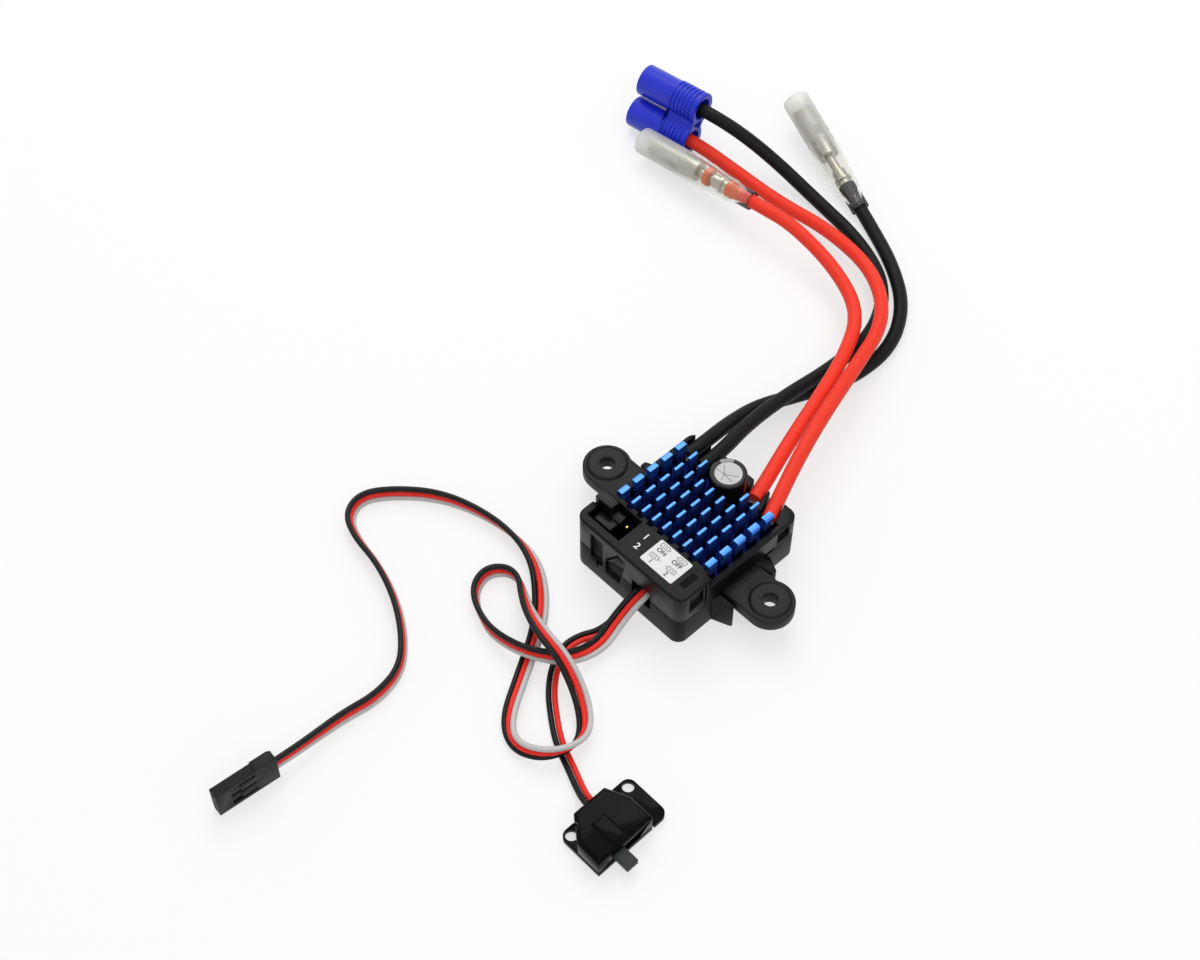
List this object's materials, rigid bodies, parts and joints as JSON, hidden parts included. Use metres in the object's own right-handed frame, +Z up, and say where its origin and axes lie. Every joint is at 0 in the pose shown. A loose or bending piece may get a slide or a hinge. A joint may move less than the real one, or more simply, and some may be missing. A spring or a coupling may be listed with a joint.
{
  "type": "electronic speed controller",
  "caption": "Brushed motor speed controller in a black case with a finned blue heat sink, two mounting ears, power wires, plugs, a receiver lead and a slide switch on its lead.",
  "frame": {"origin": "bottom centre of the case, without the cords and what is on them", "axes": "+X towards the right ear, +Y to the end where the power wires leave, +Z up"},
  "size_m": [0.153, 0.2323, 0.0184],
  "materials": {
    "case_plastic": "satin",
    "board": "satin",
    "chip_black": "matte",
    "thermal_rubber": "matte",
    "blue_aluminium": "anodised",
    "capacitor_aluminium": "satin",
    "capacitor_film": "gloss",
    "tinned_steel": "satin",
    "gold_pin": "polished",
    "jumper_plastic": "gloss",
    "label_white": "satin",
    "clear_plastic": "gloss",
    "led_resin": "gloss",
    "red_silicone": "satin",
    "black_silicone": "satin",
    "blue_nylon": "satin",
    "tinned_brass": "satin",
    "clear_vinyl": "satin",
    "black_pvc": "satin",
    "red_pvc": "satin",
    "white_pvc": "satin",
    "plug_plastic": "satin",
    "switch_plastic": "satin",
    "switch_gloss": "gloss",
    "knob_plastic": "satin"
  },
  "bodies": {
    "controller": {"battery_plug_bullets": "gold_pin", "battery_plug_housing": "blue_nylon", "battery_wire_black": "black_silicone", "battery_wire_red": "red_silicone", "bottom_case": "case_plastic", "capacitor_can": "capacitor_aluminium", "capacitor_leads": "tinned_steel", "capacitor_sleeve": "capacitor_film", "circuit_board": "board", "control_chips": "chip_black", "heat_sink": "blue_aluminium", "jumper_header_bases": "chip_black", "jumper_header_pins": "gold_pin", "lead_solder_joints": "tinned_steel", "motor_terminal_black": "tinned_brass", "motor_terminal_red": "tinned_brass", "motor_wire_black": "black_silicone", "motor_wire_red": "red_silicone", "mounting_ear_left": "case_plastic", "mounting_ear_right": "case_plastic", "power_transistors": "chip_black", "receiver_contacts": "gold_pin", "receiver_plug": "plug_plastic", "receiver_wire_black": "black_pvc", "receiver_wire_red": "red_pvc", "receiver_wire_white": "white_pvc", "settings_label": "label_white", "solder_tabs": "tinned_steel", "status_led": "led_resin", "status_window": "clear_plastic", "switch_base": "switch_plastic", "switch_contact_body": "chip_black", "switch_cover": "switch_gloss", "switch_terminals": "tinned_steel", "switch_wire_black": "black_pvc", "switch_wire_red": "red_pvc", "terminal_sleeve_black": "clear_vinyl", "terminal_sleeve_red": "clear_vinyl", "thermal_pad": "thermal_rubber", "top_case": "case_plastic"},
    "mode_jumper": {"mode_jumper": "jumper_plastic"},
    "battery_jumper": {"battery_jumper": "jumper_plastic"},
    "switch_knob": {"switch_knob": "knob_plastic"}
  },
  "joints": [
    {"name": "mode_jumper_pull", "type": "slide", "parent": "controller", "child": "mode_jumper", "axis": [0, 0, 1], "range_m": [0, 0.008]},
    {"name": "battery_jumper_pull", "type": "slide", "parent": "controller", "child": "battery_jumper", "axis": [0, 0, 1], "range_m": [0, 0.008]},
    {"name": "switch_slide", "type": "slide", "parent": "controller", "child": "switch_knob", "axis": [0, 1, 0], "range_m": [0, 0.004]}
  ]
}
